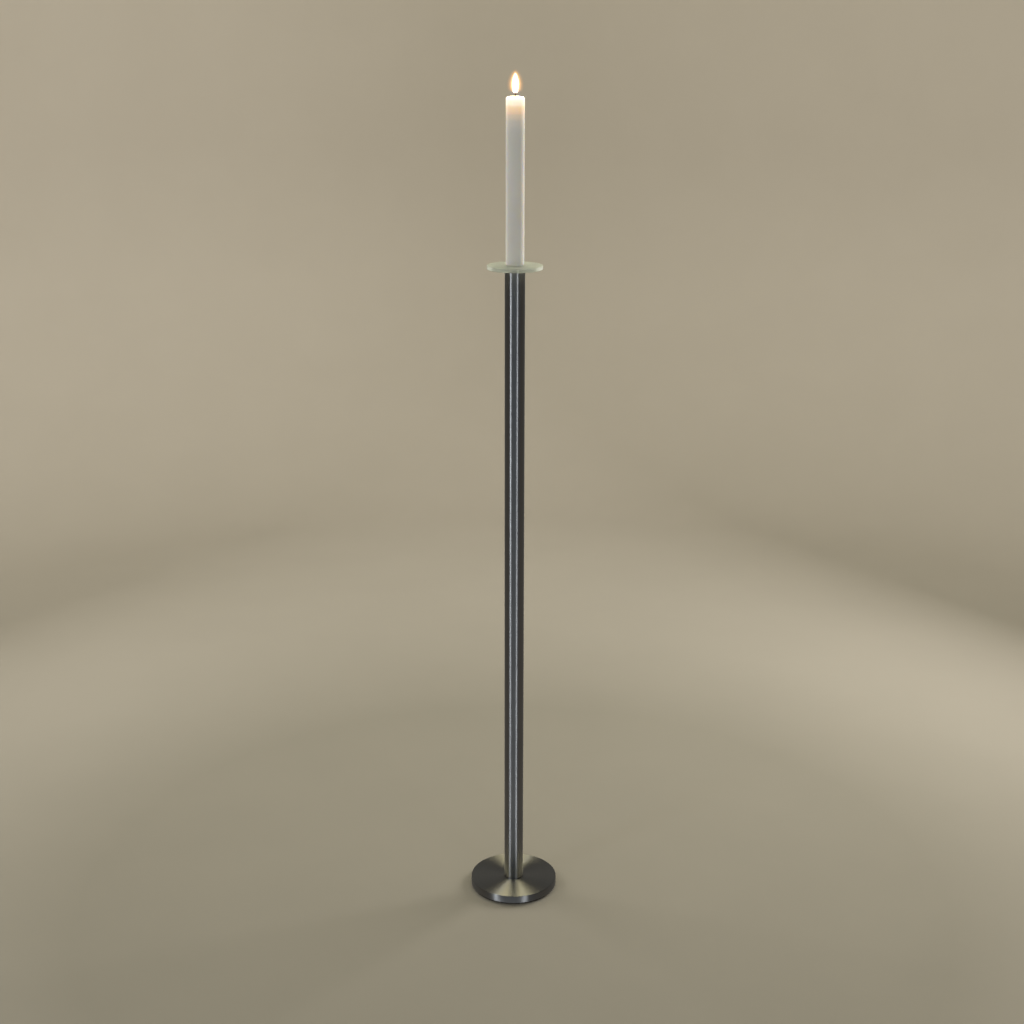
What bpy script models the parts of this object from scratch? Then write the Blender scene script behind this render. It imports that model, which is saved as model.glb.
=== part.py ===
"""A floor-standing candle holder: a brushed stainless tube on a turned round base, a thick
satin-glass drip dish lying over a screwed-in spike, and a cylinder candle pressed on the spike.

Units are metres, +Z is up, and the origin is on the floor under the centre of the base.
Every piece is turned about the Z axis, and the screw and the spike also have a hexagon. The
stack is worked out from the floor upwards, and pieces that touch keep GAP between their meshes.
"""

import math

import bmesh
import bpy
from mathutils import Matrix, Vector

MM = 0.001
GAP = 0.3 * MM  # air left between two pieces that touch
WELD = 1e-6  # points this close are one point

# Driving sizes
TUBE_RADIUS = 15.0 * MM
TUBE_WALL = 1.5 * MM
TUBE_LENGTH = 993.0 * MM
BASE_RADIUS = 69.0 * MM
BASE_THICK = 12.0 * MM
PAD_THICK = 3.0 * MM
DISH_RADIUS = 41.0 * MM
DISH_THICK = 6.0 * MM
CANDLE_RADIUS = 13.5 * MM
CANDLE_HEIGHT = 238.5 * MM

# Base, its floor pad and its countersunk M10 screw
BASE_TOP_ROUND = 0.7 * MM
BASE_BOTTOM_ROUND = 0.4 * MM
PAD_INSET = 3.0 * MM  # how far the pad stays inside the base's rim
PAD_HOLE_RADIUS = 14.0 * MM
PAD_ROUND = 0.5 * MM
SEAT_DEPTH = 1.0 * MM  # the turned seat that centres the tube in the base
SCREW_RADIUS = 5.0 * MM
SCREW_HEAD_RADIUS = 10.0 * MM
SCREW_HEAD_HEIGHT = 5.5 * MM
SCREW_HEAD_RIM = 0.6 * MM
SCREW_RECESS = 0.2 * MM  # how far the head stays inside the countersink
SCREW_LENGTH = 28.0 * MM
SCREW_LEAD = 1.0 * MM
KEY_WIDTH = 6.0 * MM
KEY_DEPTH = 3.6 * MM

# Tube ends, and the plugs pressed into them
TUBE_ROUND = 0.4 * MM
PLUG_LENGTH = 25.0 * MM
PLUG_RADIUS = TUBE_RADIUS - TUBE_WALL - GAP
PLUG_CHAMFER = 0.6 * MM

# Spike: an M8 stud, a hexagon that centres the dish, and a tapered point
STUD_RADIUS = 4.0 * MM
STUD_LENGTH = 18.0 * MM
STUD_LEAD = 0.8 * MM
HEX_WIDTH = 12.0 * MM
HEX_BELOW_DISH_TOP = 1.0 * MM
SPIKE_FOOT_RADIUS = 3.0 * MM
SPIKE_TIP_RADIUS = 0.5 * MM
SPIKE_LENGTH = 30.0 * MM  # from the top of the dish to the point

# Dish and the silicone ring under it
RING_RADIUS = 13.0 * MM
RING_HOLE_RADIUS = 8.5 * MM
RING_THICK = 1.0 * MM
DISH_HOLE_RADIUS = 7.5 * MM
DISH_ROUND = 1.2 * MM
DISH_HOLE_ROUND = 0.5 * MM

# Candle and wick
CANDLE_SHOULDER = 1.8 * MM
CANDLE_DOME = 1.2 * MM
CANDLE_FOOT_ROUND = 0.6 * MM
CANDLE_BORE_RADIUS = 3.6 * MM
CANDLE_BORE_DEPTH = 34.0 * MM
CANDLE_BORE_CONE = 2.0 * MM
WICK_RADIUS = 1.1 * MM
WICK_CHANNEL_RADIUS = WICK_RADIUS + GAP
WICK_SHOWING = 5.0 * MM

# Heights, from the floor up
BASE_BOTTOM = PAD_THICK + GAP
BASE_TOP = BASE_BOTTOM + BASE_THICK
SEAT_FLOOR = BASE_TOP - SEAT_DEPTH
TUBE_BOTTOM = SEAT_FLOOR + GAP
TUBE_TOP = TUBE_BOTTOM + TUBE_LENGTH
RING_BOTTOM = TUBE_TOP + GAP
DISH_BOTTOM = RING_BOTTOM + RING_THICK + GAP
DISH_TOP = DISH_BOTTOM + DISH_THICK
CANDLE_BOTTOM = DISH_TOP + GAP
CANDLE_TOP = CANDLE_BOTTOM + CANDLE_HEIGHT

# Facets round each kind of piece
WIDE_SIDES = 96
TUBE_SIDES = 64
SMALL_SIDES = 40
WICK_SIDES = 16
SHARP_ANGLE = math.radians(35)


def clear_scene():
    """Removes whatever the file held before."""
    for obj in list(bpy.data.objects):
        bpy.data.objects.remove(obj, do_unlink=True)


def material(name, colour, metallic, roughness, alpha=1.0, transmission=0.0):
    """A Principled BSDF material with a plain finish."""
    made = bpy.data.materials.new(name)
    made.use_nodes = True
    shader = made.node_tree.nodes["Principled BSDF"]
    shader.inputs["Base Color"].default_value = (*colour, 1.0)
    shader.inputs["Metallic"].default_value = metallic
    shader.inputs["Roughness"].default_value = roughness
    shader.inputs["Alpha"].default_value = alpha
    shader.inputs["Transmission Weight"].default_value = transmission
    return made


def arc(corner, before, after, radius, steps):
    """Points of the round that replaces a corner of an outline, tangent to both its sides."""
    to_before = (before - corner).normalized()
    to_after = (after - corner).normalized()
    half = to_before.angle(to_after) / 2
    run = radius / math.tan(half)
    centre = corner + (to_before + to_after).normalized() * radius / math.sin(half)
    start = corner + to_before * run - centre
    end = corner + to_after * run - centre
    turn = start.angle_signed(end)
    return [centre + Matrix.Rotation(-turn * k / steps, 2) @ start for k in range(steps + 1)]


def outline(corners, steps=3):
    """The closed outline through (radius, height) or (radius, height, rounding) corners."""
    places = [Vector(corner[:2]) for corner in corners]
    points = []
    for index, corner in enumerate(corners):
        if len(corner) == 2:
            points.append(places[index])
            continue
        after = places[(index + 1) % len(places)]
        points += arc(places[index], places[index - 1], after, corner[2], steps)
    return points


def turned(name, corners, finish, sides, steps=3):
    """A solid of revolution about Z, from the corners of its half section."""
    shape = bmesh.new()
    section = [shape.verts.new((point.x, 0, point.y)) for point in outline(corners, steps)]
    for start, end in zip(section, section[1:] + section[:1]):
        on_axis = start.co.x < WELD and end.co.x < WELD
        if not on_axis:
            shape.edges.new((start, end))
    bmesh.ops.spin(
        shape,
        geom=section + shape.edges[:],
        axis=(0, 0, 1),
        cent=(0, 0, 0),
        steps=sides,
        angle=math.tau,
    )
    bmesh.ops.remove_doubles(shape, verts=shape.verts[:], dist=WELD)
    bmesh.ops.recalc_face_normals(shape, faces=shape.faces[:])
    return finished(name, shape, finish)


def finished(name, shape, finish):
    """Puts a bmesh into the scene as a named object with its material."""
    mesh = bpy.data.meshes.new(name)
    shape.to_mesh(mesh)
    shape.free()
    mesh.shade_smooth()
    mesh.set_sharp_from_angle(angle=SHARP_ANGLE)
    mesh.materials.append(finish)
    obj = bpy.data.objects.new(name, mesh)
    bpy.context.scene.collection.objects.link(obj)
    return obj


def hexagon_tool(name, width, bottom, top, finish):
    """A hidden hexagonal prism, used as the other body of a Boolean. width is across flats."""
    shape = bmesh.new()
    corner_radius = width / math.sqrt(3)
    bmesh.ops.create_cone(
        shape,
        cap_ends=True,
        segments=6,
        radius1=corner_radius,
        radius2=corner_radius,
        depth=top - bottom,
        matrix=Matrix.Translation((0, 0, (top + bottom) / 2)),
    )
    tool = finished(name, shape, finish)
    tool.hide_render = True
    tool.display_type = "WIRE"
    return tool


def combine(obj, tool, operation):
    """Joins a hidden tool to an object, or cuts it away, with an exact Boolean."""
    modifier = obj.modifiers.new(tool.name, "BOOLEAN")
    modifier.operation = operation
    modifier.object = tool


def floor_pad(finish):
    """Black rubber ring that keeps the steel off the floor and leaves the screw within reach."""
    outer = BASE_RADIUS - PAD_INSET
    corners = [
        (PAD_HOLE_RADIUS, 0),
        (outer, 0, PAD_ROUND),
        (outer, PAD_THICK, PAD_ROUND),
        (PAD_HOLE_RADIUS, PAD_THICK),
    ]
    turned("floor_pad", corners, finish, WIDE_SIDES, steps=2)


def base_plate(finish):
    """Turned disc with a countersink below and a shallow seat for the tube above."""
    seat_radius = TUBE_RADIUS + GAP
    hole_radius = SCREW_RADIUS + GAP
    sink_radius = SCREW_HEAD_RADIUS + GAP
    sink_top = BASE_BOTTOM + SCREW_HEAD_HEIGHT + GAP
    corners = [
        (sink_radius, BASE_BOTTOM),
        (BASE_RADIUS, BASE_BOTTOM, BASE_BOTTOM_ROUND),
        (BASE_RADIUS, BASE_TOP, BASE_TOP_ROUND),
        (seat_radius, BASE_TOP),
        (seat_radius, SEAT_FLOOR),
        (hole_radius, SEAT_FLOOR),
        (hole_radius, sink_top),
    ]
    turned("base_plate", corners, finish, WIDE_SIDES)


def base_screw(finish):
    """Countersunk M10 socket screw, driven up through the base into the lower plug."""
    foot = BASE_BOTTOM + SCREW_RECESS
    rim_radius = SCREW_HEAD_RADIUS - SCREW_HEAD_RIM
    top = foot + SCREW_LENGTH
    corners = [
        (0, foot),
        (rim_radius, foot),
        (rim_radius, foot + SCREW_HEAD_RIM),
        (SCREW_RADIUS, foot + SCREW_HEAD_HEIGHT),
        (SCREW_RADIUS, top - SCREW_LEAD),
        (SCREW_RADIUS - SCREW_LEAD, top),
        (0, top),
    ]
    screw = turned("base_screw", corners, finish, SMALL_SIDES)
    key_start = foot - KEY_DEPTH  # the cutter sticks out below the head
    key = hexagon_tool("key_cutter", KEY_WIDTH, key_start, foot + KEY_DEPTH, finish)
    combine(screw, key, "DIFFERENCE")


def plug(name, bottom, hole_radius, finish):
    """Tapped steel slug that closes one end of the tube."""
    top = bottom + PLUG_LENGTH
    corners = [
        (hole_radius, bottom),
        (PLUG_RADIUS - PLUG_CHAMFER, bottom),
        (PLUG_RADIUS, bottom + PLUG_CHAMFER),
        (PLUG_RADIUS, top - PLUG_CHAMFER),
        (PLUG_RADIUS - PLUG_CHAMFER, top),
        (hole_radius, top),
    ]
    turned(name, corners, finish, SMALL_SIDES)


def column_tube(finish):
    """The brushed tube, with its cut ends broken by small rounds."""
    bore = TUBE_RADIUS - TUBE_WALL
    corners = [
        (bore, TUBE_BOTTOM),
        (TUBE_RADIUS, TUBE_BOTTOM, TUBE_ROUND),
        (TUBE_RADIUS, TUBE_TOP, TUBE_ROUND),
        (bore, TUBE_TOP),
    ]
    turned("column_tube", corners, finish, TUBE_SIDES, steps=2)


def seat_ring(finish):
    """Clear silicone ring between the tube's end and the glass."""
    ring_top = RING_BOTTOM + RING_THICK
    corners = [
        (RING_HOLE_RADIUS, RING_BOTTOM),
        (RING_RADIUS, RING_BOTTOM),
        (RING_RADIUS, ring_top),
        (RING_HOLE_RADIUS, ring_top),
    ]
    turned("seat_ring", corners, finish, SMALL_SIDES)


def candle_spike(finish):
    """Stud, hexagon and tapered point in one turned piece. The hexagon centres the dish."""
    stud_bottom = TUBE_TOP - STUD_LENGTH
    hex_bottom = TUBE_TOP + GAP
    hex_top = DISH_TOP - HEX_BELOW_DISH_TOP
    waist = (hex_bottom + hex_top) / 2  # stud and point meet inside the hexagon
    tip = DISH_TOP + SPIKE_LENGTH
    corners = [
        (0, stud_bottom),
        (STUD_RADIUS - STUD_LEAD, stud_bottom),
        (STUD_RADIUS, stud_bottom + STUD_LEAD),
        (STUD_RADIUS, waist),
        (SPIKE_FOOT_RADIUS, waist),
        (SPIKE_FOOT_RADIUS, DISH_TOP),
        (SPIKE_TIP_RADIUS, tip - SPIKE_TIP_RADIUS),
        (0, tip),
    ]
    spike = turned("candle_spike", corners, finish, SMALL_SIDES)
    hexagon = hexagon_tool("spike_hexagon", HEX_WIDTH, hex_bottom, hex_top, finish)
    combine(spike, hexagon, "UNION")


def glass_dish(finish):
    """Thick flat glass disc with ground, rounded edges and a hole over the spike's hexagon."""
    corners = [
        (DISH_HOLE_RADIUS, DISH_BOTTOM, DISH_HOLE_ROUND),
        (DISH_RADIUS, DISH_BOTTOM, DISH_ROUND),
        (DISH_RADIUS, DISH_TOP, DISH_ROUND),
        (DISH_HOLE_RADIUS, DISH_TOP, DISH_HOLE_ROUND),
    ]
    turned("glass_dish", corners, finish, WIDE_SIDES, steps=4)


def candle_body(finish):
    """Wax cylinder: a bore from below for the spike, a channel from above for the wick."""
    bore_top = CANDLE_BOTTOM + CANDLE_BORE_DEPTH
    corners = [
        (CANDLE_BORE_RADIUS, CANDLE_BOTTOM),
        (CANDLE_RADIUS, CANDLE_BOTTOM, CANDLE_FOOT_ROUND),
        (CANDLE_RADIUS, CANDLE_TOP - CANDLE_DOME, CANDLE_SHOULDER),
        (WICK_CHANNEL_RADIUS, CANDLE_TOP),
        (WICK_CHANNEL_RADIUS, bore_top),
        (CANDLE_BORE_RADIUS, bore_top - CANDLE_BORE_CONE),
    ]
    turned("candle_body", corners, finish, TUBE_SIDES, steps=4)


def candle_wick(finish):
    """Braided wick, from the top of the spike's bore to its burnt end above the wax."""
    bottom = CANDLE_BOTTOM + CANDLE_BORE_DEPTH
    top = CANDLE_TOP + WICK_SHOWING
    corners = [
        (0, bottom),
        (WICK_RADIUS, bottom),
        (WICK_RADIUS, top - WICK_RADIUS),
        (WICK_RADIUS / 2, top),
        (0, top),
    ]
    turned("candle_wick", corners, finish, WICK_SIDES)


def main():
    clear_scene()
    brushed = material("brushed_stainless", (0.50, 0.50, 0.50), 1.0, 0.32)
    turned_steel = material("turned_stainless", (0.48, 0.48, 0.47), 1.0, 0.30)
    plain_steel = material("plain_steel", (0.42, 0.42, 0.43), 1.0, 0.40)
    rubber = material("black_rubber", (0.02, 0.02, 0.02), 0.0, 0.80)
    silicone = material("clear_silicone", (0.80, 0.82, 0.80), 0.0, 0.50, alpha=0.7)
    glass = material("satin_glass", (0.76, 0.83, 0.74), 0.0, 0.35, alpha=0.6, transmission=0.8)
    wax = material("ivory_wax", (0.86, 0.84, 0.76), 0.0, 0.45)
    cotton = material("burnt_cotton", (0.10, 0.08, 0.07), 0.0, 0.90)

    floor_pad(rubber)
    base_plate(turned_steel)
    base_screw(plain_steel)
    plug("bottom_plug", TUBE_BOTTOM + GAP, SCREW_RADIUS + GAP, plain_steel)
    column_tube(brushed)
    plug("top_plug", TUBE_TOP - PLUG_LENGTH, STUD_RADIUS + GAP, plain_steel)
    seat_ring(silicone)
    candle_spike(turned_steel)
    glass_dish(glass)
    candle_body(wax)
    candle_wick(cotton)


main()
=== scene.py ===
"""Looks of the floor candle holder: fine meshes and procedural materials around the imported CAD.

Everything is in metres, in the CAD's frame: +Z up, the origin on the floor under the base's
centre. Heights and outer radii come from the CAD nodes' boxes. Most pieces are solids of revolution
about Z, made by turned().
"""

import math

import bmesh
import bpy
from mathutils import Matrix, Vector, noise

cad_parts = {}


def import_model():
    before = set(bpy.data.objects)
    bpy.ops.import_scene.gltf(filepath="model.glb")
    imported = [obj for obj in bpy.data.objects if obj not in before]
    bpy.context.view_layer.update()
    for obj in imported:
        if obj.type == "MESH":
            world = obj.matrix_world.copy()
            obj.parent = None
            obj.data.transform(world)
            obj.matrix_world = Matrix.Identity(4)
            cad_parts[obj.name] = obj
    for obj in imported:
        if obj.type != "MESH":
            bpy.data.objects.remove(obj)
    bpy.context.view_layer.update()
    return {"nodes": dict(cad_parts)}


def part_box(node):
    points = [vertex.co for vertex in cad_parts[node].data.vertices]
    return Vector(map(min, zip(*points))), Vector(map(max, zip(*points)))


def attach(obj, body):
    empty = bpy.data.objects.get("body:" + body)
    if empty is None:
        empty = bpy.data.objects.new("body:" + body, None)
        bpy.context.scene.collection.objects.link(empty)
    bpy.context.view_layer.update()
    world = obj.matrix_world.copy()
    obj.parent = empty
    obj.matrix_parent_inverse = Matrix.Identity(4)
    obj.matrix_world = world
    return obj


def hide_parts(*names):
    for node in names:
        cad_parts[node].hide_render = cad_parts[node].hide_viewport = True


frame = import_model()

MM = 0.001
GAP = 0.3 * MM  # air that the CAD leaves between two pieces that touch
WELD = 1e-6
SHARP_ANGLE = math.radians(35)
NOISE_RANGE = (0.3, 0.7)

# Camera
CAMERA_BACK = 2.292  # from the column's axis
CAMERA_ASIDE = -0.0037
CAMERA_HEIGHT = 1.342
CAMERA_PITCH = math.radians(17.06)
CAMERA_ROLL = math.radians(0.1)
LENS = 55.15  # millimetres, as is the sensor's width
SENSOR = 36.0
CLIP_START = 0.05

# Facets round each piece
WIDE_SIDES = 256
TUBE_SIDES = 192
SMALL_SIDES = 96

# Colours along a height, as (share of the way up, colour)
# Painted glow in the wax: emission standing in for the flame's light shining into it near its top
WAX_GLOW_DEPTH = 50.0 * MM
WAX_GLOW = (
    (0.00, (0.0, 0.0, 0.0)),
    (0.28, (0.060, 0.045, 0.022)),
    (0.44, (0.20, 0.12, 0.045)),
    (0.64, (0.50, 0.25, 0.070)),
    (0.82, (0.75, 0.60, 0.40)),
    (1.00, (1.00, 1.00, 0.90)),
)
WICK_CHAR = ((0.0, (0.45, 0.38, 0.28)), (0.45, (0.085, 0.034, 0.024)), (1.0, (0.012, 0.012, 0.012)))
WICK_EMBER = ((0.86, (0.0, 0.0, 0.0)), (1.0, (0.9, 0.16, 0.02)))
CORE_COLOURS = ((0.0, (0.55, 0.45, 0.40)), (0.2, (1.0, 0.80, 0.55)), (1.0, (1.0, 0.86, 0.62)))
MANTLE_COLOURS = ((0.0, (0.35, 0.35, 0.60)), (0.22, (1.0, 0.62, 0.36)), (1.0, (1.0, 0.62, 0.34)))
HALO_COLOURS = ((0.0, (0.25, 0.35, 0.9)), (0.22, (1.0, 0.52, 0.22)), (1.0, (1.0, 0.52, 0.20)))

# The flame's shells: name, how far each end is inside the flame's ends, half width, colours,
# strength and alpha. The outer two stand for the soft glow round the flame.
FLAME_SHELLS = (
    ("flame_core", 1.0 * MM, 4.9 * MM, CORE_COLOURS, 14.0, 1.0),
    ("flame_mantle", 0.5 * MM, 5.6 * MM, MANTLE_COLOURS, 1.8, 0.75),
    ("flame_halo", 0.0, 6.8 * MM, HALO_COLOURS, 1.8, 0.40),
    ("flame_glow", -2.0 * MM, 8.6 * MM, HALO_COLOURS, 1.8, 0.12),
    ("flame_haze", -4.0 * MM, 11.2 * MM, HALO_COLOURS, 1.8, 0.05),
)

# Light. Azimuths are in degrees from the camera's direction, right positive.
STRIP_LEFT, STRIP_RIGHT = -48.0, 31.0
STRIP_DISTANCE = 2.0
COOL, PALE_WARM = (0.82, 0.92, 1.0), (1.0, 0.97, 0.92)
WARM, YELLOW = (1.0, 0.93, 0.84), (1.0, 0.90, 0.56)
SURROUNDINGS = (  # from behind the camera to behind the object, as a share of the way
    (0.00, (0.022, 0.040, 0.066)),
    (0.45, (0.050, 0.044, 0.038)),
    (0.75, (0.075, 0.075, 0.072)),
    (1.00, (0.135, 0.128, 0.112)),
)
FLOOR_AHEAD, FLOOR_ASIDE = (0.33, 0.325, 0.305), (0.18, 0.16, 0.13)
GLEAMS = ((STRIP_LEFT, (2.1, 2.2, 2.3)), (STRIP_RIGHT, (2.6, 2.7, 2.8)))


# Shapes


def arc(corner, before, after, radius, steps):
    """Points of the round that replaces a corner of an outline, tangent to both its sides."""
    to_before = (before - corner).normalized()
    to_after = (after - corner).normalized()
    half = to_before.angle(to_after) / 2
    centre = corner + (to_before + to_after).normalized() * radius / math.sin(half)
    run = radius / math.tan(half)
    start = corner + to_before * run - centre
    end = corner + to_after * run - centre
    turn = start.angle_signed(end)
    return [centre + Matrix.Rotation(-turn * k / steps, 2) @ start for k in range(steps + 1)]


def outline(corners, steps):
    """The closed outline through (radius, height) or (radius, height, rounding) corners."""
    places = [Vector(corner[:2]) for corner in corners]
    points = []
    for index, corner in enumerate(corners):
        if len(corner) == 2:
            points.append(places[index])
            continue
        after = places[(index + 1) % len(places)]
        points += arc(places[index], places[index - 1], after, corner[2], steps)
    return points


def turned_shape(corners, sides, steps, closed=True):
    """A bmesh of revolution about Z, from the corners of its half section."""
    shape = bmesh.new()
    points = outline(corners, steps)
    section = [shape.verts.new((point.x, 0, point.y)) for point in points]
    ends = section[1:] + section[:1] if closed else section[1:]
    for start, end in zip(section, ends):
        on_axis = start.co.x < WELD and end.co.x < WELD
        if not on_axis:
            shape.edges.new((start, end))
    bmesh.ops.spin(
        shape,
        geom=section + shape.edges[:],
        axis=(0, 0, 1),
        cent=(0, 0, 0),
        steps=sides,
        angle=math.tau,
    )
    bmesh.ops.remove_doubles(shape, verts=shape.verts[:], dist=WELD)
    bmesh.ops.recalc_face_normals(shape, faces=shape.faces[:])
    return shape


def finished(name, shape, finish):
    """Puts a bmesh into the scene as a named object with its material."""
    mesh = bpy.data.meshes.new(name)
    shape.to_mesh(mesh)
    shape.free()
    mesh.shade_smooth()
    mesh.set_sharp_from_angle(angle=SHARP_ANGLE)
    mesh.materials.append(finish)
    obj = bpy.data.objects.new(name, mesh)
    bpy.context.scene.collection.objects.link(obj)
    return obj


def turned(name, corners, finish, sides, steps=6):
    """A named solid of revolution with its material."""
    return finished(name, turned_shape(corners, sides, steps), finish)


def stand_in(piece, body, cad_name):
    """Says which body a piece rides on, and hides the CAD node that it replaces."""
    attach(piece, body)
    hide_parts(cad_name)


def radius_of(cad_name):
    """Outer radius of a CAD node that is round about Z."""
    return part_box(cad_name)[1].x


def heights_of(cad_name):
    """Lowest and highest Z of a CAD node."""
    low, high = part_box(cad_name)
    return low.z, high.z


# Materials


def node(tree, kind, inputs=None, **settings):
    """A shader node. Each input takes a value or another node's output."""
    made = tree.nodes.new("ShaderNode" + kind)
    for name, value in settings.items():
        setattr(made, name, value)
    for key, value in (inputs or {}).items():
        if isinstance(value, bpy.types.NodeSocket):
            tree.links.new(value, made.inputs[key])
        else:
            made.inputs[key].default_value = value
    return made


def material(name, **values):
    """A material with its node tree and Principled shader, whose plain values are set."""
    made = bpy.data.materials.new(name)
    made.use_nodes = True
    shader = made.node_tree.nodes["Principled BSDF"]
    for key, value in values.items():
        shader.inputs[key.replace("_", " ")].default_value = value
    return made, made.node_tree, shader


def link(tree, output, shader, name):
    """Feeds a node's output into one of the shader's inputs."""
    tree.links.new(output, shader.inputs[name])


def position(tree):
    """The point being shaded in the piece's own frame, whole and split into X, Y and Z."""
    place = node(tree, "TexCoord").outputs["Object"]
    return place, node(tree, "SeparateXYZ", {"Vector": place})


def radial_distance(tree, split):
    """Distance from the Z axis."""
    flat = node(tree, "CombineXYZ", {"X": split.outputs["X"], "Y": split.outputs["Y"]})
    length = node(tree, "VectorMath", {0: flat.outputs[0]}, operation="LENGTH")
    return length.outputs["Value"]


def ranged(tree, value, low, high, to_low, to_high):
    """A value moved from one range to another and kept inside it."""
    inputs = {
        "Value": value, "From Min": low, "From Max": high, "To Min": to_low, "To Max": to_high,
    }
    return node(tree, "MapRange", inputs).outputs["Result"]


def blotches(tree, place, scale, detail=4.0):
    """Soft noise from 0 to 1, mostly between 0.3 and 0.7."""
    inputs = {"Vector": place, "Scale": scale, "Detail": detail}
    return node(tree, "TexNoise", inputs).outputs["Fac"]


def spread(tree, noise_value, to_low, to_high):
    """Stretches the noise's usual range onto another range."""
    return ranged(tree, noise_value, *NOISE_RANGE, to_low, to_high)


def tones(tree, factor, dark, light):
    """A mix of two colours, each of them a plain colour or another node's output."""
    mix = node(tree, "Mix", data_type="RGBA")
    tree.links.new(factor, mix.inputs[0])
    for index, colour in ((6, dark), (7, light)):
        if isinstance(colour, bpy.types.NodeSocket):
            tree.links.new(colour, mix.inputs[index])
        else:
            mix.inputs[index].default_value = (*colour, 1)
    return mix.outputs[2]


def bumped(tree, shader, height, depth, strength):
    """Roughens the shading normal by a height pattern."""
    inputs = {"Height": height, "Distance": depth, "Strength": strength}
    link(tree, node(tree, "Bump", inputs).outputs["Normal"], shader, "Normal")


def lathe_grain(tree, place, split, fine, coarse):
    """Noise in rings: fast across the tool's marks, on a wall or on a face, slow along them."""
    radius = radial_distance(tree, split)
    across = node(tree, "Math", {0: radius, 1: split.outputs["Z"]}, operation="ADD").outputs[0]
    ring = node(tree, "Math", {0: across, 1: fine}, operation="MULTIPLY").outputs[0]
    along = node(tree, "VectorMath", {0: place, 1: (coarse, coarse, 0)}, operation="MULTIPLY")
    lift = node(tree, "CombineXYZ", {"Z": ring}).outputs[0]
    vector = node(tree, "VectorMath", {0: along.outputs[0], 1: lift}, operation="ADD")
    return blotches(tree, vector.outputs[0], 1.0, detail=3.0)


def brushed_steel(name, dark, light, rough, grain_depth):
    """Steel with its grain running round Z, so that highlights stretch across the grain."""
    quarter_turn = 0.25  # from along the grain to across it
    made, tree, shader = material(
        name, Metallic=1.0, Anisotropic=1.0, Anisotropic_Rotation=quarter_turn
    )
    place, split = position(tree)
    grain = lathe_grain(tree, place, split, fine=1500.0, coarse=6.0)
    smudge = blotches(tree, place, 9.0)
    link(tree, tones(tree, spread(tree, grain, 0, 1), dark, light), shader, "Base Color")
    link(tree, spread(tree, smudge, *rough), shader, "Roughness")
    around = node(tree, "Tangent", direction_type="RADIAL", axis="Z").outputs[0]
    link(tree, around, shader, "Tangent")
    bumped(tree, shader, grain, grain_depth, 0.15)
    return made


def machined_steel():
    """Plain machined steel, for the parts that hide inside."""
    made, tree, shader = material("looks_plain_steel", Metallic=1.0)
    place, split = position(tree)
    grain = lathe_grain(tree, place, split, fine=900.0, coarse=30.0)
    link(tree, tones(tree, grain, (0.30, 0.30, 0.31), (0.50, 0.50, 0.50)), shader, "Base Color")
    link(tree, spread(tree, grain, 0.32, 0.50), shader, "Roughness")
    bumped(tree, shader, grain, 0.03 * MM, 0.5)
    return made


def black_rubber():
    """Matt black moulded rubber."""
    made, tree, shader = material("looks_black_rubber")
    place, _ = position(tree)
    grit = blotches(tree, place, 900.0, detail=6.0)
    link(tree, tones(tree, grit, (0.012, 0.012, 0.012), (0.035, 0.034, 0.033)), shader, "Base Color")
    link(tree, spread(tree, grit, 0.65, 0.90), shader, "Roughness")
    bumped(tree, shader, grit, 0.08 * MM, 0.5)
    return made


def clear_silicone():
    """Hazy clear silicone."""
    made, tree, shader = material("looks_clear_silicone", Transmission_Weight=0.6, IOR=1.41)
    place, _ = position(tree)
    haze = blotches(tree, place, 220.0)
    link(tree, tones(tree, haze, (0.74, 0.77, 0.74), (0.86, 0.88, 0.86)), shader, "Base Color")
    link(tree, spread(tree, haze, 0.40, 0.60), shader, "Roughness")
    return made


def satin_glass():
    """Etched glass: a fine bite on its surface, and the green of thick float glass."""
    made, tree, shader = material("looks_satin_glass", Transmission_Weight=0.68, IOR=1.5)
    place, _ = position(tree)
    bite = blotches(tree, place, 1400.0, detail=6.0)
    cloud = blotches(tree, place, 30.0)
    link(tree, tones(tree, cloud, (0.64, 0.69, 0.63), (0.69, 0.74, 0.68)), shader, "Base Color")
    link(tree, spread(tree, cloud, 0.52, 0.60), shader, "Roughness")
    bumped(tree, shader, bite, 0.02 * MM, 0.4)
    return made


def ivory_wax(top, pool_radius):
    """Ivory wax with a painted glow of the flame's light: white, then amber, then plain from the top
    down.
    """
    rim_width = 1.5 * MM  # of the melted pool, over which the wax turns from wet to dry
    made, tree, shader = material(
        "looks_ivory_wax", Subsurface_Weight=0.85, Subsurface_Scale=0.004,
        Subsurface_Radius=(1.0, 0.75, 0.45), IOR=1.44, Sheen_Weight=0.15,
    )
    place, split = position(tree)
    cloud = blotches(tree, place, 26.0)
    link(tree, tones(tree, cloud, (0.63, 0.645, 0.645), (0.69, 0.70, 0.70)), shader, "Base Color")

    # Painted glow: emission in place of the flame's light shining into the wax
    glow = ranged(tree, split.outputs["Z"], top - WAX_GLOW_DEPTH, top, 0, 1)
    ramp = node(tree, "ValToRGB", {"Fac": glow})
    ramp.color_ramp.interpolation = "EASE"
    colours(ramp.color_ramp, WAX_GLOW)
    link(tree, ramp.outputs["Color"], shader, "Emission Color")
    shader.inputs["Emission Strength"].default_value = 1.0

    radius = radial_distance(tree, split)
    rough = ranged(tree, radius, pool_radius, pool_radius + rim_width, 0.06, 0.42)
    link(tree, rough, shader, "Roughness")
    bumped(tree, shader, blotches(tree, place, 420.0), 0.05 * MM, 0.35)
    return made


def colours(ramp, stops):
    """Gives a colour ramp these stops, in place of its first two."""
    while len(ramp.elements) < len(stops):
        ramp.elements.new(1.0)
    for element, (place, colour) in zip(ramp.elements, stops):
        element.position = place
        element.color = (*colour, 1)


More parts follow.
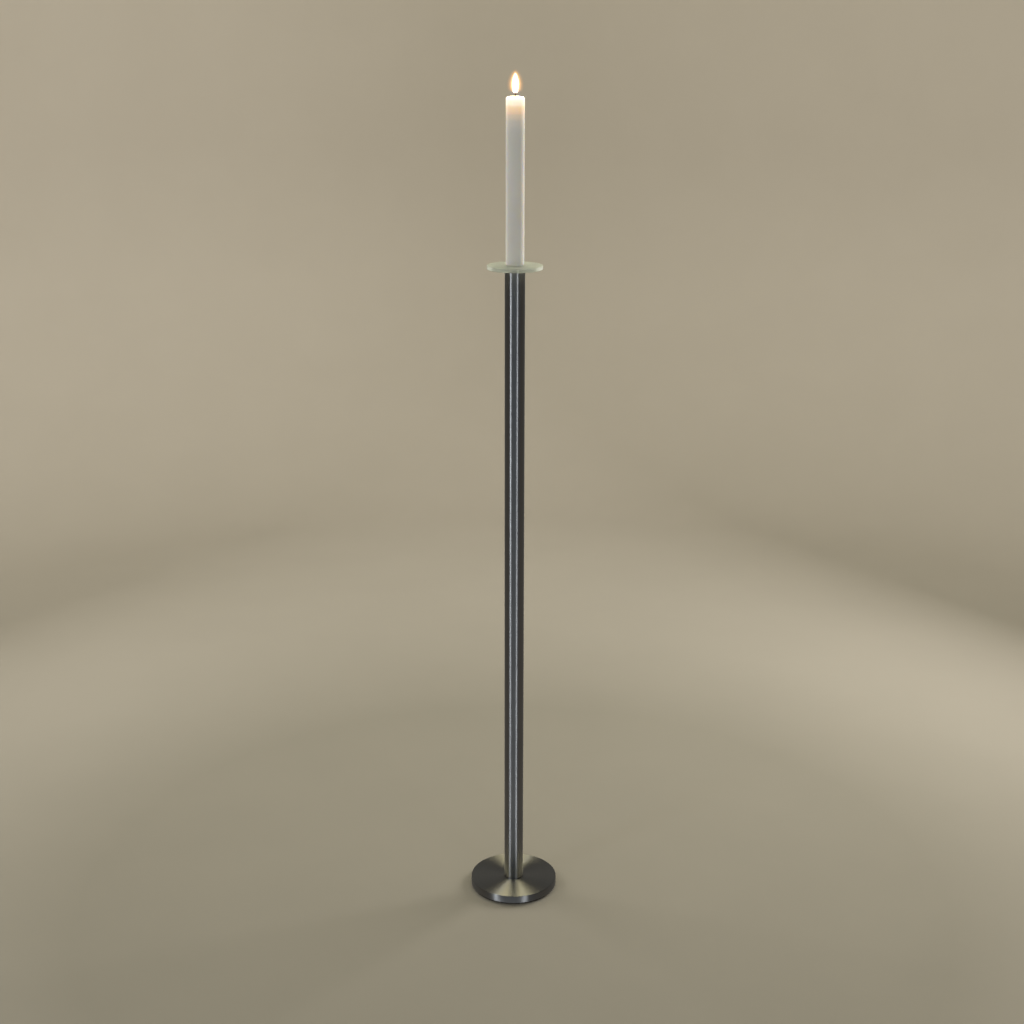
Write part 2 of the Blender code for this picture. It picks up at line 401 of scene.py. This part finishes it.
def burnt_cotton(bottom, top):
    """Waxy where it leaves the candle, charred above, with an ember at its tip."""
    made, tree, shader = material("looks_burnt_cotton", Roughness=0.9)
    place, split = position(tree)
    up = ranged(tree, split.outputs["Z"], bottom, top, 0, 1)
    ramp = node(tree, "ValToRGB", {"Fac": up})
    colours(ramp.color_ramp, WICK_CHAR)
    link(tree, ramp.outputs["Color"], shader, "Base Color")
    ember = node(tree, "ValToRGB", {"Fac": up})
    colours(ember.color_ramp, WICK_EMBER)
    link(tree, ember.outputs["Color"], shader, "Emission Color")
    shader.inputs["Emission Strength"].default_value = 1.0
    bumped(tree, shader, blotches(tree, place, 2500.0), 0.1 * MM, 0.7)
    return made


def flame_light(name, low, high, colour_stops, strength, alpha):
    """Glowing gas, clear at its foot."""
    clear_to, full_from = 0.08, 0.26  # shares of the way up
    made, tree, shader = material(
        name, Base_Color=(0, 0, 0, 1), Roughness=1.0, Specular_IOR_Level=0.0
    )
    _, split = position(tree)
    up = ranged(tree, split.outputs["Z"], low, high, 0, 1)
    ramp = node(tree, "ValToRGB", {"Fac": up})
    colours(ramp.color_ramp, colour_stops)
    link(tree, ramp.outputs["Color"], shader, "Emission Color")
    shader.inputs["Emission Strength"].default_value = strength
    link(tree, ranged(tree, up, clear_to, full_from, 0.0, alpha), shader, "Alpha")
    return made


# Pieces


def foot_pad(rubber):
    """Moulded ring with shallow grooves in its underside."""
    low, high = heights_of("floor_pad")
    outer = radius_of("floor_pad")
    inner, edge = 14.0 * MM, 0.5 * MM
    groove_width, groove_depth, grooves = 3.0 * MM, 0.8 * MM, 4
    pitch = (outer - inner) / (grooves + 1)
    corners = [(inner, low)]
    for index in range(1, grooves + 1):
        middle = inner + index * pitch
        corners += [
            (middle - groove_width / 2, low),
            (middle - groove_width / 2, low + groove_depth),
            (middle + groove_width / 2, low + groove_depth),
            (middle + groove_width / 2, low),
        ]
    corners += [(outer, low, edge), (outer, high, edge), (inner, high)]
    stand_in(turned("foot_pad", corners, rubber, WIDE_SIDES), "stand", "floor_pad")


def foot_disc(steel):
    """Turned disc: broken rim edges, a seat for the tube above and a countersink below."""
    low, high = heights_of("base_plate")
    outer = radius_of("base_plate")
    seat = radius_of("column_tube") + GAP
    seat_floor = heights_of("column_tube")[0] - GAP
    sink = radius_of("base_screw") + GAP
    shank, sink_depth = 5.3 * MM, 5.8 * MM
    corners = [
        (sink, low, 0.15 * MM),
        (outer, low, 0.4 * MM),
        (outer, high, 0.7 * MM),
        (seat, high, 0.12 * MM),
        (seat, seat_floor),
        (shank, seat_floor),
        (shank, low + sink_depth),
    ]
    disc = turned("foot_disc", corners, steel, WIDE_SIDES)
    stand_in(disc, "stand", "base_plate")


def column(steel):
    """Plain tube with both ends deburred."""
    low, high = heights_of("column_tube")
    outer = radius_of("column_tube")
    bore = outer - 1.5 * MM
    inside, outside = 0.2 * MM, 0.4 * MM  # rounding of its edges
    corners = [
        (bore, low, inside),
        (outer, low, outside),
        (outer, high, outside),
        (bore, high, inside),
    ]
    tube = turned("column", corners, steel, TUBE_SIDES)
    stand_in(tube, "stand", "column_tube")


def hexagon(bottom, top, width):
    """A plain hexagonal prism. Its width is across the flats."""
    shape = bmesh.new()
    corner = width / math.sqrt(3)
    bmesh.ops.create_cone(
        shape, cap_ends=True, segments=6, radius1=corner, radius2=corner, depth=top - bottom,
        matrix=Matrix.Translation((0, 0, (top + bottom) / 2)),
    )
    return shape


def joined(obj, shape, finish, operation):
    """Applies an exact Boolean with another closed shape, which is then removed."""
    other = finished(obj.name + "_tool", shape, finish)
    used_up = [obj.data, other.data]
    modifier = obj.modifiers.new("join", "BOOLEAN")
    modifier.operation = operation
    modifier.object = other
    bpy.context.view_layer.update()
    graph = bpy.context.evaluated_depsgraph_get()
    mesh = bpy.data.meshes.new_from_object(obj.evaluated_get(graph))
    obj.modifiers.clear()
    obj.data = mesh
    mesh.shade_smooth()
    mesh.set_sharp_from_angle(angle=SHARP_ANGLE)
    bpy.data.objects.remove(other, do_unlink=True)
    for spent in used_up:
        bpy.data.meshes.remove(spent)


def spike(steel):
    """Stud, hexagon with its corners turned off as on a nut, and a slim tapered point."""
    low, high = heights_of("candle_spike")
    hex_low = heights_of("column_tube")[1] + GAP
    below_glass, overlap, collar = 1.0 * MM, 2.0 * MM, 1.5 * MM
    hex_high = heights_of("glass_dish")[1] - below_glass
    stud, foot, tip, hex_width = 4.0 * MM, 3.0 * MM, 0.4 * MM, 12.0 * MM
    lead_in, tip_round = 0.8 * MM, 0.3 * MM
    chamfer = hex_width / math.sqrt(3) - hex_width / 2
    body = finished("spike", hexagon(hex_low, hex_high, hex_width), steel)
    limit = [
        (0, hex_low),
        (hex_width / 2, hex_low),
        (hex_width / 2 + chamfer, hex_low + chamfer / 2),
        (hex_width / 2 + chamfer, hex_high - chamfer / 2),
        (hex_width / 2, hex_high),
        (0, hex_high),
    ]
    joined(body, turned_shape(limit, SMALL_SIDES, 1), steel, "INTERSECT")
    shaft = [
        (0, low),
        (stud - lead_in, low),
        (stud, low + lead_in),
        (stud, hex_low + overlap),
        (foot, hex_low + overlap),
        (foot, hex_high + collar),
        (tip, high - tip, tip_round),
        (0, high),
    ]
    joined(body, turned_shape(shaft, SMALL_SIDES, 4), steel, "UNION")
    stand_in(body, "stand", "candle_spike")


def soft_ring(silicone):
    """Ring with well-rounded edges, between the tube and the glass."""
    low, high = heights_of("seat_ring")
    outer, inner = radius_of("seat_ring"), 8.5 * MM
    edge = (high - low) * 0.4
    corners = [(inner, low, edge), (outer, low, edge), (outer, high, edge), (inner, high, edge)]
    ring = turned("soft_ring", corners, silicone, SMALL_SIDES)
    stand_in(ring, "stand", "seat_ring")


def dish(glass):
    """Flat disc with a ground rim and a hole for the spike's foot."""
    low, high = heights_of("glass_dish")
    outer, hole = radius_of("glass_dish"), 7.5 * MM
    rim, lip = 1.2 * MM, 0.5 * MM  # rounding of its edges
    corners = [(hole, low, lip), (outer, low, rim), (outer, high, rim), (hole, high, lip)]
    disc = turned("dish", corners, glass, WIDE_SIDES, steps=8)
    stand_in(disc, "dish", "glass_dish")


def melted(point, top):
    """Moves a point of the wax a little: hand-cast sides, and a softer, uneven shoulder."""
    waves_per_metre, centre_kept, shoulder = 60.0, 4.5 * MM, 9.0 * MM
    everywhere, more_at_top, up_at_top = 0.06, 0.16, 0.35  # millimetres
    wobble = noise.noise(point * waves_per_metre)
    near_top = max(0.0, 1.0 - (top - point.z) / shoulder)
    outward = Vector((point.x, point.y, 0))
    if outward.length > centre_kept:
        point += outward.normalized() * wobble * (everywhere + more_at_top * near_top) * MM
        point.z += wobble * up_at_top * MM * near_top


def candle():
    """Cylinder candle, lit a while ago: a bore for the spike below and a small pool above."""
    low, high = heights_of("candle_body")
    outer = radius_of("candle_body")
    bore, bore_high, cone = 3.6 * MM, low + 34.0 * MM, 2.0 * MM
    dome, pool, pool_depth = 1.8 * MM, 6.0 * MM, 1.2 * MM
    shoulder, rings = 8.0 * MM, 60  # rings up its side, for melted() to move
    foot_kept = 1.0 * MM
    corners = [
        (bore, low),
        (outer, low, 0.6 * MM),
        *[(outer, low + (high - shoulder - low) * ring / rings) for ring in range(1, rings + 1)],
        (outer, high - dome, 3.2 * MM),
        (pool, high - 0.3 * MM, 0.6 * MM),
        (pool - 1.2 * MM, high - pool_depth, 0.8 * MM),
        (0, high - pool_depth),
        (0, bore_high),
        (bore, bore_high - cone),
    ]
    shape = turned_shape(corners, TUBE_SIDES, 8)
    for vertex in shape.verts:
        if vertex.co.z > low + foot_kept:
            melted(vertex.co, high)
    piece = finished("candle", shape, ivory_wax(high, pool))
    stand_in(piece, "candle", "candle_body")


def strand(shape, path, radius, sides=10):
    """Adds a tube of changing radius along a path to a bmesh."""
    rings = []
    for index, point in enumerate(path):
        before, after = path[max(index - 1, 0)], path[min(index + 1, len(path) - 1)]
        turn = (after - before).to_track_quat("Z", "Y")
        size = radius(index / (len(path) - 1))
        ring = []
        for side in range(sides):
            angle = math.tau * side / sides
            spoke = Vector((math.cos(angle), math.sin(angle), 0))
            ring.append(shape.verts.new(point + turn @ spoke * size))
        rings.append(ring)
    for lower, upper in zip(rings, rings[1:]):
        for side in range(sides):
            following = (side + 1) % sides
            shape.faces.new((lower[side], lower[following], upper[following], upper[side]))
    shape.faces.new(rings[0][::-1])
    shape.faces.new(rings[-1])


def wick():
    """Three twisted strands, charred and curling over a little at the end."""
    sunk, charred = 4.0 * MM, 5.5 * MM
    high = heights_of("candle_wick")[1]
    low = heights_of("candle_body")[1] - sunk
    strands, turns, points = 3, 3.2, 48
    twist_radius, strand_radius, curl = 0.62 * MM, 0.70 * MM, 0.9 * MM
    shape = bmesh.new()
    for index in range(strands):
        path = []
        for step in range(points + 1):
            up = step / points
            angle = math.tau * (turns * up + index / strands)
            lean = curl * up ** 3
            off_axis = twist_radius * (1 - 0.35 * up ** 4)
            x, y = math.cos(angle) * off_axis + lean, math.sin(angle) * off_axis
            path.append(Vector((x, y, low + (high - low) * up)))
        strand(shape, path, lambda up: strand_radius * (1 - 0.45 * up ** 6))
    piece = finished("wick", shape, burnt_cotton(high - charred, high))
    stand_in(piece, "candle", "candle_wick")


def flame_outline(low, high, widest, points=28):
    """Half section of a tall oval, widest a little under half of the way up."""
    section = [(0, low)]
    for step in range(1, points):
        up = step / points
        width = widest * math.sin(math.pi * up ** 0.9) ** 0.62
        section.append((width, low + (high - low) * up))
    section.append((0, high))
    return section


def flame():
    """Nested shells of glowing gas, and a small lamp for the light that they throw."""
    wick_top = heights_of("candle_wick")[1]
    below, above = 4.2 * MM, 27.0 * MM  # of the wick's top
    low, high = wick_top - below, wick_top + above
    for name, inset, widest, stops, strength, alpha in FLAME_SHELLS:
        glow = flame_light("looks_" + name, low, high, stops, strength, alpha)
        section = flame_outline(low + inset, high - inset, widest)
        shape = turned_shape(section, SMALL_SIDES, 1, closed=False)
        piece = finished(name, shape, glow)
        piece.visible_shadow = False
        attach(piece, "candle")
    lamp_share = 0.45  # of the way up the flame
    lamp = bpy.data.lights.new("flame_lamp", "POINT")
    lamp.energy = 0.25
    lamp.color = (1.0, 0.66, 0.34)
    lamp.shadow_soft_size = 4.0 * MM
    source = bpy.data.objects.new("flame_lamp", lamp)
    source.location = (0, 0, low + (high - low) * lamp_share)
    bpy.context.scene.collection.objects.link(source)
    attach(source, "candle")


def carried_over_nodes():
    """CAD nodes whose shape is right and which only need a better material."""
    plain = machined_steel()
    for name in ("base_screw", "bottom_plug", "top_plug"):
        frame["nodes"][name].material_slots[0].material = plain


# Stage, light and camera


def studio():
    """A round, seamless stage: a plain floor that curves up into a paler wall on every side."""
    wall, cove, height = 3.0, 1.0, 4.5
    floor_to, wall_from = 0.7, 2.9  # distances from the axis
    inside = Vector((0, 0, 2))
    finish, tree, shader = material("looks_stage", Roughness=0.85, Specular_IOR_Level=0.2)
    place, split = position(tree)
    speckle = blotches(tree, place, 5.0)
    floor = tones(tree, speckle, (0.215, 0.208, 0.180), (0.230, 0.222, 0.192))
    plaster = tones(tree, speckle, (0.60, 0.57, 0.53), (0.63, 0.60, 0.56))
    outward = ranged(tree, radial_distance(tree, split), floor_to, wall_from, 0, 1)
    link(tree, tones(tree, outward, floor, plaster), shader, "Base Color")
    corners = [(0, 0), (wall, 0, cove), (wall, height)]
    shape = turned_shape(corners, WIDE_SIDES, 24, closed=False)
    for face in shape.faces:
        if face.normal.dot(inside - face.calc_center_median()) < 0:
            face.normal_flip()
    room = finished("studio", shape, finish)
    room.visible_glossy = False  # the steel mirrors only the world and the lights


def softbox(name, place, aim, size, power, colour, glossy=True):
    """A rectangular area light that faces a point and stays out of the camera's sight."""
    lamp = bpy.data.lights.new(name, "AREA")
    lamp.shape = "RECTANGLE"
    lamp.size, lamp.size_y = size
    lamp.energy = power
    lamp.color = colour
    source = bpy.data.objects.new(name, lamp)
    source.location = place
    source.rotation_mode = "QUATERNION"
    source.rotation_quaternion = (Vector(aim) - Vector(place)).to_track_quat("-Z", "Y")
    source.visible_camera = False
    source.visible_glossy = glossy
    bpy.context.scene.collection.objects.link(source)


def strip_light(name, azimuth, width, power, colour):
    """A tall strip on the camera's side, with its foot clear of the floor."""
    angle = math.radians(azimuth)
    middle, height = 1.25, 2.2
    place = (STRIP_DISTANCE * math.sin(angle), -STRIP_DISTANCE * math.cos(angle), middle)
    softbox(name, place, (0, 0, middle), (width, height), power, colour)


def lights():
    """The lights that the steel mirrors, and soft light that it doesn't.

    The strips draw the tube's bright lines, and the overhead light the foot's bright sectors.
    """
    strip_light("strip_left", STRIP_LEFT, 0.26, 5.7, (0.88, 0.94, 1.0))
    strip_light("strip_right", STRIP_RIGHT, 0.15, 2.3, (0.90, 0.95, 1.0))
    foot, dish_height = (0, 0, 0), (0, 0, 1.1)
    softbox("overhead", (0, 0.9, 3.2), foot, (1.8, 1.8), 34.0, YELLOW)
    softbox("fill", (0, 0, 4.2), foot, (5.0, 5.0), 38.0, PALE_WARM, glossy=False)
    softbox("front", (0, -2.5, 1.7), dish_height, (1.5, 1.5), 5.5, COOL, glossy=False)
    for side, power in ((-1, 17.0), (1, 33.0)):
        place = (side * 1.3, 0.9, 1.2)
        softbox("edge_light", place, dish_height, (0.8, 1.0), power, WARM, glossy=False)


def away_from(tree, turn, azimuth, near, far, at_near, at_far):
    """A value that changes from at_near to at_far as a direction turns away from an azimuth."""
    off = node(tree, "Math", {0: turn, 1: math.radians(azimuth)}, operation="SUBTRACT").outputs[0]
    off = node(tree, "Math", {0: off}, operation="ABSOLUTE").outputs[0]
    return ranged(tree, off, math.radians(near), math.radians(far), at_near, at_far)


def world():
    """What the steel mirrors besides the lights, as the stage is hidden from reflections.

    Cool behind the camera, warmer at the sides and brightest behind the object, with the floor
    below and the gleam of both strip lights on it.
    """
    floor_from, floor_full = -0.32, -0.50  # how far down a direction points
    gleam_from, gleam_full = -0.22, -0.36
    made = bpy.data.worlds.new("world")
    bpy.context.scene.world = made
    made.use_nodes = True
    tree = made.node_tree
    split = node(tree, "SeparateXYZ", {"Vector": node(tree, "TexCoord").outputs["Generated"]})
    back = ranged(tree, split.outputs["Y"], -1.0, 1.0, 0, 1)
    room = node(tree, "ValToRGB", {"Fac": back})
    colours(room.color_ramp, SURROUNDINGS)

    ahead = node(tree, "Math", {0: split.outputs["Y"], 1: -1.0}, operation="MULTIPLY").outputs[0]
    turn = node(tree, "Math", {0: split.outputs["X"], 1: ahead}, operation="ARCTAN2").outputs[0]
    aside = away_from(tree, turn, 0.0, 20.0, 60.0, 0, 1)
    floor = tones(tree, aside, FLOOR_AHEAD, FLOOR_ASIDE)
    down = ranged(tree, split.outputs["Z"], floor_from, floor_full, 0, 1)
    shade = tones(tree, down, room.outputs["Color"], floor)
    below_strips = ranged(tree, split.outputs["Z"], gleam_from, gleam_full, 0, 1)
    for azimuth, colour in GLEAMS:
        near = away_from(tree, turn, azimuth, 2.0, 6.0, 1, 0)
        share = node(tree, "Math", {0: near, 1: below_strips}, operation="MULTIPLY").outputs[0]
        shade = tones(tree, share, shade, colour)
    tree.links.new(shade, tree.nodes["Background"].inputs["Color"])


def camera():
    """A plain pinhole camera in front of the object, a little above the candle."""
    lens = bpy.data.cameras.new("camera")
    lens.sensor_fit = "HORIZONTAL"
    lens.sensor_width = SENSOR
    lens.lens = LENS
    lens.clip_start = CLIP_START
    eye = bpy.data.objects.new("camera", lens)
    eye.location = (CAMERA_ASIDE, -CAMERA_BACK, CAMERA_HEIGHT)
    level = Matrix.Rotation(math.pi / 2 - CAMERA_PITCH, 4, "X")
    roll = Matrix.Rotation(CAMERA_ROLL, 4, "Z")
    eye.rotation_euler = (level @ roll).to_euler()
    bpy.context.scene.collection.objects.link(eye)
    bpy.context.scene.camera = eye


camera()
world()
lights()
studio()
bpy.context.scene.view_settings.view_transform = "Standard"

column_steel = brushed_steel(
    "looks_brushed", dark=(0.47, 0.47, 0.47), light=(0.53, 0.53, 0.53),
    rough=(0.34, 0.40), grain_depth=0.0006 * MM,
)
foot_steel = brushed_steel(
    "looks_turned", dark=(0.46, 0.46, 0.45), light=(0.52, 0.52, 0.51),
    rough=(0.37, 0.43), grain_depth=0.003 * MM,
)
foot_pad(black_rubber())
foot_disc(foot_steel)
column(column_steel)
soft_ring(clear_silicone())
spike(foot_steel)
dish(satin_glass())
candle()
wick()
flame()
carried_over_nodes()
